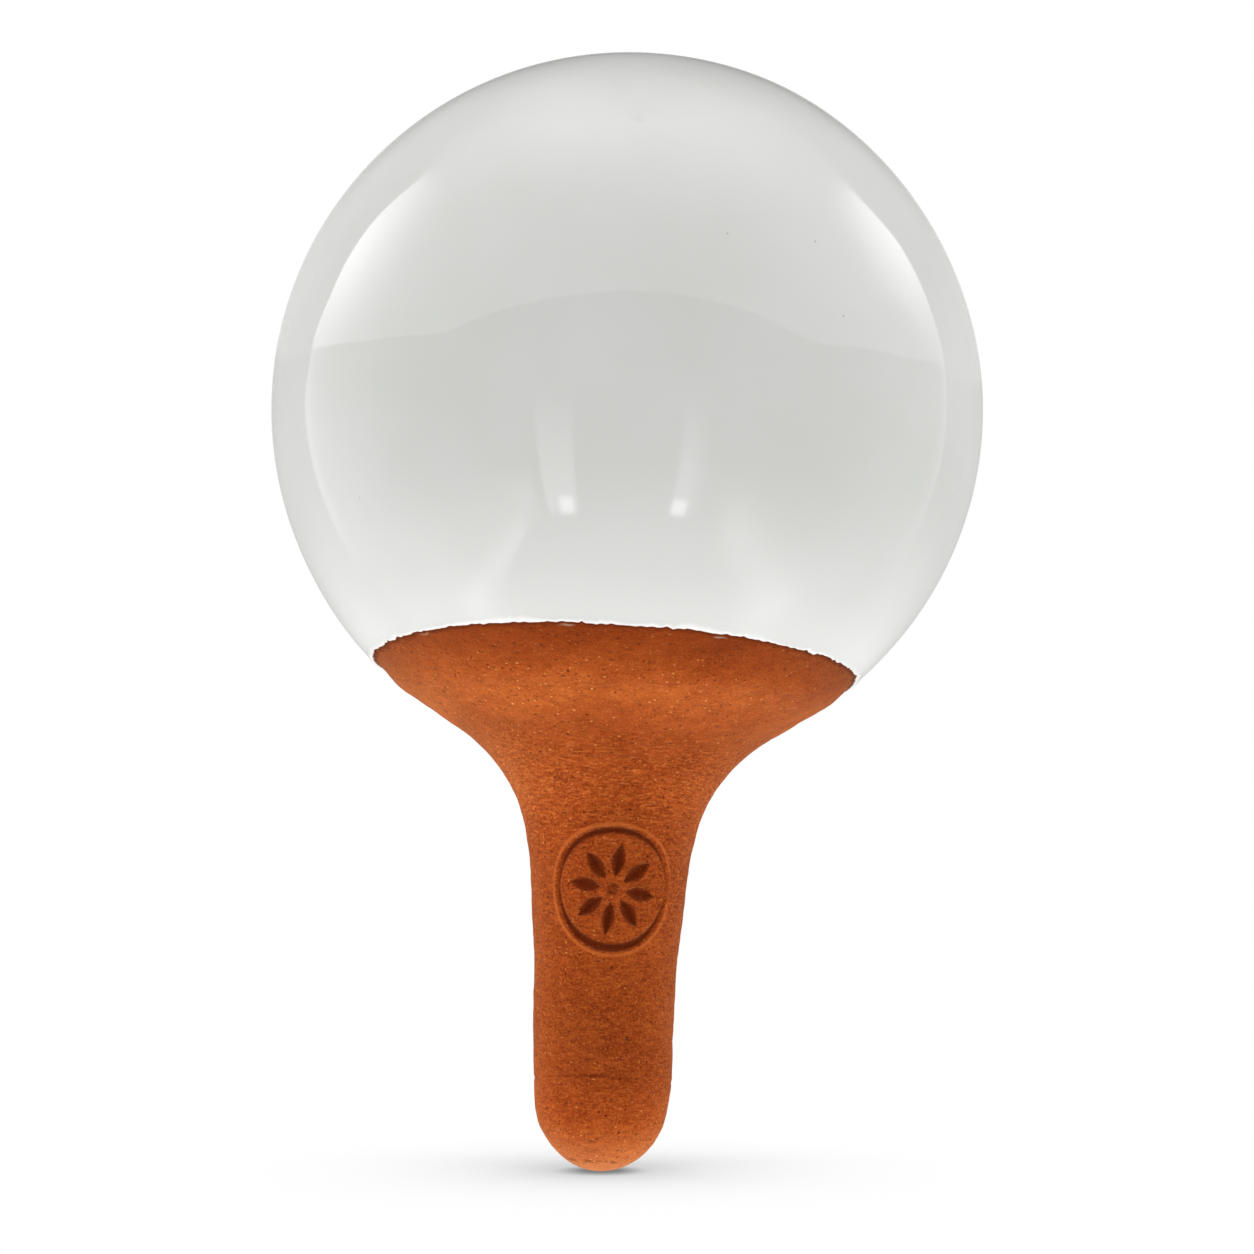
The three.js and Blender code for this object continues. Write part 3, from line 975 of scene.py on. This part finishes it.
def terracotta():
    """Bare fired clay with throwing streaks, grain and grog, painted light and shade, darker under the
    glaze.
    """
    material, tree, shader = new_material("terracotta")
    place_mm = millimetres(tree)
    height = node(tree, "ShaderNodeSeparateXYZ", Vector=place_mm).outputs["Z"]
    mottle = noise(tree, millimetres(tree, (0.6, 0.6, 1.0)), 0.42, 3.0, 0.6)
    colour = clay_ground(tree, place_mm, mottle)
    colour, rise = clay_grain(tree, place_mm, height, colour)
    colour, rise = clay_grog(tree, place_mm, height, colour, rise)
    colour = clay_marks(tree, colour)
    colour = clay_foot(tree, place_mm, height, mottle, colour)
    colour = clay_under_glaze(tree, place_mm, colour)
    finish_surface(tree, shader, colour, rise, 0.2, Roughness=0.9, Specular_IOR_Level=0.02,
                   Sheen_Weight=0.14, Sheen_Roughness=0.4, Sheen_Tint=CLAY_SHEEN)
    return material


def glaze_edge(tree, place_mm, above, colour):
    """Whiter glaze towards the dip line, an uneven white bead with a painted highlight that is strongest at
    the front and back and fades at the sides, and a thin brown edge.
    """
    colour = tinted(tree, colour, GLAZE_LOW, above, 32.0, 4.0, 0.55)
    colour = tinted(tree, colour, GLAZE_LOWEST, above, 12.0, 1.0, 0.6)
    across = node(tree, "ShaderNodeSeparateXYZ", Vector=place_mm).outputs["X"]
    across = maths(tree, "ABSOLUTE", across, 0.0)
    uneven = ramp(tree, noise(tree, place_mm, 0.13, 2.0), 0.35, 0.68, 0.50, 1.50, "LINEAR")
    # Painted highlight: the bead is whiter at the front and back and fades at the sides
    uneven = product(tree, uneven, ramp(tree, across, 24.0, 40.0, 1.0, 0.45))
    colour = tinted(tree, colour, GLAZE_BEAD_WHITE_AND_HIGHLIGHT, maths(tree, "DIVIDE", above, uneven), 1.15, 0.55)
    return tinted(tree, colour, GLAZE_EDGE_BROWN, above, 0.16, 0.03)


def white_glaze():
    """Glossy white glaze with faint clouds, a few specks and a gently flowing surface."""
    material, tree, shader = new_material("white_glaze")
    place_mm = millimetres(tree)
    clouds = noise(tree, place_mm, 0.035, 3.0)
    colour = mixed(tree, ramp(tree, clouds, 0.3, 0.7), GLAZE_GREY, GLAZE_PALE)
    dust = specks(tree, place_mm, 0.22, 0.055, 0.12)
    colour = mixed(tree, product(tree, dust, 0.5), colour, GLAZE_SPECK)
    above = attribute(tree, "above_dip")
    colour = glaze_edge(tree, place_mm, above, colour)
    tree.links.new(ramp(tree, above, 0.05, 0.40, 0.05, 0.5), shader.inputs["Specular IOR Level"])
    flow = noise(tree, place_mm, 0.05, 0.0)
    ripple = noise(tree, place_mm, 0.16, 0.0)
    rise = maths(tree, "ADD", flow, product(tree, ripple, 0.12))
    finish_surface(tree, shader, colour, rise, 0.16, Roughness=0.02, IOR=1.5)
    return material


def cork():
    """Natural cork with fine grain and dark pores."""
    material, tree, shader = new_material("cork")
    place_mm = millimetres(tree)
    cells = noise(tree, place_mm, 0.55, 4.0, 0.6)
    fine = noise(tree, place_mm, 3.0, 3.0, 0.6)
    colour = mixed(tree, ramp(tree, cells, 0.35, 0.65), CORK_TAN, CORK_PALE)
    colour = tinted(tree, colour, CORK_GRAIN, fine, 0.55, 0.75, 0.6)
    colour = tinted(tree, colour, CORK_PORE, attribute(tree, "pore"), 0.03, 0.25)
    rise = maths(tree, "ADD", fine, cells)
    finish_surface(tree, shader, colour, rise, 0.2, 0.5, Roughness=0.85)
    return material


# Pieces on their bodies
clay_finish, glaze_finish, cork_finish = terracotta(), white_glaze(), cork()
clay_pieces = [globe_piece(), spike_piece(), tip_piece()]
for piece, body, cad_node, slot, finish in [
    (clay_pieces[0], "pot", "reservoir_globe", "terracotta", clay_finish),
    (clay_pieces[1], "pot", "seepage_spike", "terracotta", clay_finish),
    (clay_pieces[2], "pot", "spike_tip", "terracotta", clay_finish),
    (glaze_piece(), "pot", "glaze_coat", "white_glaze", glaze_finish),
    (cork_piece(), "stopper", "fill_stopper", "cork", cork_finish),
]:
    piece.data.materials.append(finish)
    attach(piece, body)
    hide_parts(cad_node)


# Stage
def glow_material(name):
    """Material without surface yet, whose glow is only seen, not sampled as a lamp."""
    material = bpy.data.materials.new(name)
    material.use_nodes = True
    material.node_tree.nodes.clear()
    material.cycles.emission_sampling = "NONE"
    return material, material.node_tree


def surface(tree, shader):
    output = tree.nodes.new("ShaderNodeOutputMaterial")
    tree.links.new(shader, output.inputs["Surface"])


def floor_brightness(tree):
    """White to the camera, darker where the object covers the floor, most of all behind."""
    cover = node(tree, "ShaderNodeAmbientOcclusion", {"samples": 32}, Distance=SHADOW_REACH).outputs["AO"]
    open_share, *others = [ramp(tree, cover, *stretch, "LINEAR") for stretch in FLOOR_RAMPS]
    for other in others:
        open_share = maths(tree, "ADD", open_share, other)
    place_floor = node(tree, "ShaderNodeTexCoord").outputs["Object"]
    depth = node(tree, "ShaderNodeSeparateXYZ", Vector=place_floor).outputs["Y"]
    shade = maths(tree, "SUBTRACT", 1.0, open_share)
    shade = product(tree, shade, ramp(tree, depth, *SHADOW_RAMP))
    return maths(tree, "SUBTRACT", 1.0, shade)


def floor():
    """White sheet that glows up at the object, level in the picture."""
    half = FLOOR_HALF
    corners = [(-half, -half, 0), (half, -half, 0), (half, half, 0), (-half, half, 0)]
    mesh = bpy.data.meshes.new("floor")
    mesh.from_pydata(corners, [], [(0, 1, 2, 3)])
    ground = add_object("floor", mesh)
    ground.rotation_euler.y = -CAMERA_ROLL
    material, tree = glow_material("floor")
    seen = node(tree, "ShaderNodeEmission", Strength=floor_brightness(tree))
    lit = node(tree, "ShaderNodeEmission", Strength=FLOOR_GLOW)
    to_camera = node(tree, "ShaderNodeLightPath").outputs["Is Camera Ray"]
    blend = node(tree, "ShaderNodeMixShader", Fac=to_camera)
    tree.links.new(lit.outputs[0], blend.inputs[1])
    tree.links.new(seen.outputs[0], blend.inputs[2])
    surface(tree, blend.outputs[0])
    mesh.materials.append(material)
    ground.visible_glossy = False


# Glow of the tent's sheets. Angles are in degrees, seen from the middle of the globe: side is measured
# from the front to either side, right is 0 on the left and 1 on the right, rear is 1 behind.
def tent_wall(side, down, right, rear):
    """Lower sheet: dim in front, brighter to the rear and below, with a bright seam at each side."""
    wall = 0.25 + between(0.9, 0.5, right) * rear + 0.6 * smooth(15, 60, down)
    return wall + 0.4 * bell(side, 119, 4) * smooth(30, 10, down)


def tent_folds(side, down, right):
    """Bright folds that fall to both sides, narrow on the left and wide on the right."""
    over_edge = np.degrees(np.arctan(between(1.55, 1.27, right) * np.sin(np.radians(side)))) - down
    soft = 0.8 + 4.2 * smooth(46, 72, side)
    left_fold = 1.7 * smooth(-soft, soft, over_edge) * smooth(9, 1.5, over_edge)
    left_fold = left_fold + 0.6 * smooth(0, 8, over_edge) * smooth(18, 40, down)
    right_fold = 1.4 * bell(over_edge, 1, 8)
    return between(left_fold, right_fold, right) * smooth(32, 44, side) * smooth(104, 84, side)


def tent_streaks(side, down, right):
    """Streak with a bright spot at its foot at each side of the front, and a faint spot on the left."""
    streak_left = 1.75 * smooth(16.2, 17.0, side) * smooth(28.5, 27.5, side)
    streak_right = 1.4 * smooth(17.2, 18.2, side) * smooth(28, 20, side)
    streak = between(streak_left, streak_right, right) * smooth(-4, 31, down) * smooth(42, 38, down)
    spot = 4.0 * np.exp(-((side - 21 + 0.6 * right) / 2.9) ** 4 - ((down - 38) / 2.6) ** 4)
    side_spot = 0.9 * smooth(31, 32.5, side) * smooth(44, 35, side) * bell(down, 34, 6) * (1 - right)
    return streak + spot + side_spot


def tent_roof(side, elevation, right, rear):
    """Upper sheet with a soft lamp behind it at each side, brightest overhead."""
    lamp_left = 2.4 * bell(side, 110.5, 19) * bell(elevation, 31, 16) * smooth(51, 46, elevation)
    lamp_front = 84 + 1.8 * np.clip(30 - elevation, 0, None)
    lamp_right = 2.2 * bell(side, 112, 20) * bell(elevation, 37, 13) * smooth(52, 46, elevation)
    lamp_right = lamp_right * smooth(lamp_front - 3, lamp_front + 12, side)
    roof = 1.08 + between(0.4, 0.2, right) * rear * smooth(60, 40, elevation)
    return roof + between(lamp_left, lamp_right, right) + 1.05 * smooth(46, 80, elevation)


def tent_back(side, elevation):
    """Sheet behind the object, dimmer in its middle and bright overhead."""
    back = 0.62 + 0.5 * smooth(2, 26, -elevation) + 0.12 * smooth(12.5, 13.5, elevation)
    back = between(back, 0.62 - 0.40 * smooth(140, 176, side), smooth(18, 32, elevation))
    return between(back, 1.7, smooth(47, 100, elevation))


def tent_glow(azimuth, elevation):
    """Glow of the tent by azimuth from the front and elevation."""
    side = np.abs(azimuth)
    right = smooth(-40, 40, azimuth)
    rear = smooth(60, 112, side)
    down = -elevation

    lower = tent_wall(side, down, right, rear) + tent_folds(side, down, right)
    lower = lower + tent_streaks(side, down, right)
    upper = tent_roof(side, elevation, right, rear)
    brink = np.degrees(np.arctan(between(0.46, 0.49, right) * np.cos(np.radians(side))))
    front = np.where(elevation > np.maximum(brink, 13.6 + 1.3 * right), upper, lower)

    edge = 118.5 - between(2.9, 1.3, right) * smooth(14, 24, elevation) - 2.5 * smooth(34, 46, elevation)
    edge = edge + 2.0 * smooth(12, 4, elevation) * (1 - right)
    spread = 0.7 + 55 * smooth(44, 64, elevation) + 40 * smooth(36, 62, down)
    return between(front, tent_back(side, elevation), smooth(edge - spread, edge + spread, side))


def steps(stretches):
    """Values over stretches of (start, end, step), each without its end."""
    return np.concatenate([np.arange(start, end, step) for start, end, step in stretches])


def tent():
    """Tent round the object, unseen by the camera, that lights it and shows in the glaze."""
    half = steps(TENT_AZIMUTHS)
    azimuth = np.concatenate([-half[:0:-1], half])
    elevation = steps(TENT_ELEVATIONS)
    turn, rise = np.meshgrid(azimuth, elevation)
    glow = tent_glow(turn, rise)
    turn, rise = np.radians(turn), np.radians(rise)
    points = np.stack([np.sin(turn) * np.cos(rise), -np.cos(turn) * np.cos(rise), np.sin(rise)], axis=-1)
    points = (points * TENT_RADIUS + (0, 0, globe_centre[1] * MM)).reshape(-1, 3)
    across = len(azimuth)
    low = np.arange((len(elevation) - 1) * across).reshape(-1, across)
    after = np.roll(low, -1, axis=1)
    faces = np.stack([low, after, after + across, low + across], axis=-1).reshape(-1, 4)
    mesh = bpy.data.meshes.new("tent")
    mesh.from_pydata(points.tolist(), [], faces.tolist())
    store(mesh, "glow", glow.ravel())
    material, tree = glow_material("tent")
    surface(tree, node(tree, "ShaderNodeEmission", Strength=attribute(tree, "glow")).outputs[0])
    mesh.materials.append(material)
    sheet = add_object("tent", mesh)
    sheet.visible_camera = False
    sheet.visible_shadow = False


def side_lamps(pieces):
    """Soft lamps at both sides that model the relief of the matt clay."""
    lit = bpy.data.collections.new("clay")
    for piece in pieces:
        lit.objects.link(piece)
    for spot, power in LAMPS:
        data = bpy.data.lights.new("side_lamp", "AREA")
        data.shape = "DISK"
        data.size = LAMP_SIZE
        data.energy = power
        lamp = add_object("side_lamp", data)
        lamp.location = spot
        lamp.rotation_euler = (Vector(LAMP_AIM) - Vector(spot)).to_track_quat("-Z", "Y").to_euler()
        lamp.visible_camera = False
        lamp.light_linking.receiver_collection = lit


def world():
    """White background."""
    made = bpy.data.worlds.new("studio")
    bpy.context.scene.world = made
    made.use_nodes = True
    background = made.node_tree.nodes["Background"]
    background.inputs["Color"].default_value = (1, 1, 1, 1)
    background.inputs["Strength"].default_value = 1.0


def camera():
    """Camera low in front, turned up a little and rolled as in the photograph."""
    forward = Vector((math.sin(CAMERA_PAN) * math.cos(CAMERA_PITCH),
                      math.cos(CAMERA_PAN) * math.cos(CAMERA_PITCH), math.sin(CAMERA_PITCH)))
    level = forward.cross(Vector((0, 0, 1))).normalized()
    upright = level.cross(forward)
    right = level * math.cos(CAMERA_ROLL) + upright * math.sin(CAMERA_ROLL)
    up = upright * math.cos(CAMERA_ROLL) - level * math.sin(CAMERA_ROLL)
    data = bpy.data.cameras.new("camera")
    data.lens = CAMERA_LENS
    data.sensor_width = CAMERA_SENSOR
    data.clip_start = CAMERA_CLIP
    eye = add_object("camera", data)
    turn = Matrix((right, up, -forward)).transposed()
    eye.matrix_world = Matrix.Translation(Vector(CAMERA_PLACE) * MM) @ turn.to_4x4()
    bpy.context.scene.camera = eye


floor()
tent()
side_lamps(clay_pieces)
world()
camera()
bpy.context.scene.view_settings.view_transform = "Standard"
